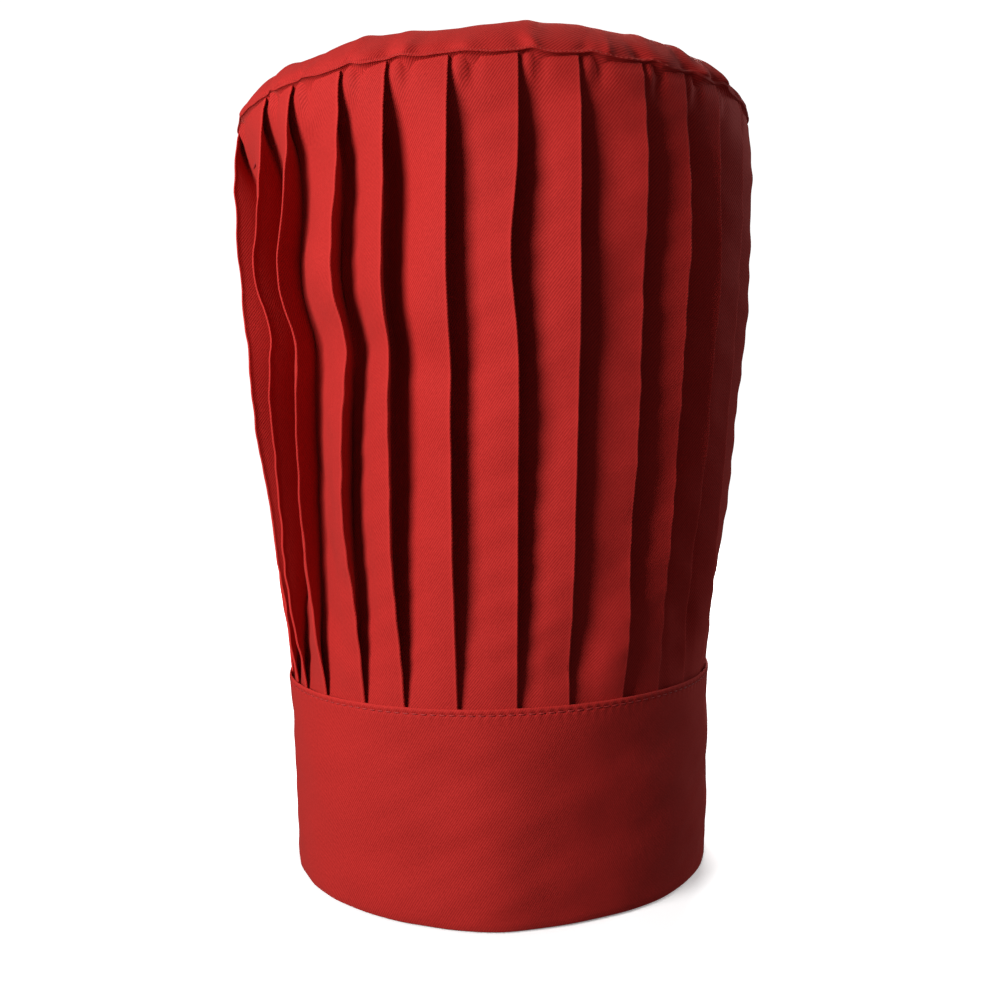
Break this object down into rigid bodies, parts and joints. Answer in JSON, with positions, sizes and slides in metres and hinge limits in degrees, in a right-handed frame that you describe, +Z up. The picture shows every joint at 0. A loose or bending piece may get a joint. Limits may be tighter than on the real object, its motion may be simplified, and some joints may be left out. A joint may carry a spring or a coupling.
{
  "type": "chef hat",
  "caption": "Tall pleated cloth chef toque with a folded band, knife pleats, a domed crown and a peel-open back closure.",
  "frame": {"origin": "centre of the band's lower edge, on the plane the hat stands on", "axes": "+Z up through the crown; -Y is the front; +Y is the back, where the band closes; +X is the wearer's left"},
  "size_m": [0.2164, 0.2158, 0.3316],
  "materials": {
    "band_cloth": "matte",
    "wall_cloth": "matte",
    "crown_cloth": "matte",
    "interlining": "matte",
    "thread": "satin",
    "binding_tape": "matte",
    "hook_tape": "matte",
    "loop_tape": "matte",
    "label_cloth": "satin"
  },
  "bodies": {
    "cap": {"band_cloth": "band_cloth", "band_interlining": "interlining", "band_topstitch": "thread", "pleated_wall": "wall_cloth", "slit_facing": "binding_tape", "slit_bartack": "thread", "crown_disc": "crown_cloth", "crown_seam_tape": "binding_tape", "tab_root": "band_cloth", "loop_patch": "loop_tape", "label_root": "label_cloth"},
    "closure_tab": {"tab_cloth": "band_cloth", "tab_topstitch": "thread", "hook_patch": "hook_tape"},
    "label": {"care_label": "label_cloth"}
  },
  "joints": [
    {"name": "tab_peel", "type": "hinge", "parent": "cap", "child": "closure_tab", "pos_m": [0.00123, 0.09159, 0.041], "axis": [-0.0003, -0.0219, -0.9998], "range_deg": [0, 100]},
    {"name": "label_flip", "type": "hinge", "parent": "cap", "child": "label", "pos_m": [0.04301, 0.07449, 0.0734], "axis": [-0.866, 0.5, 0], "range_deg": [0, 80]}
  ]
}
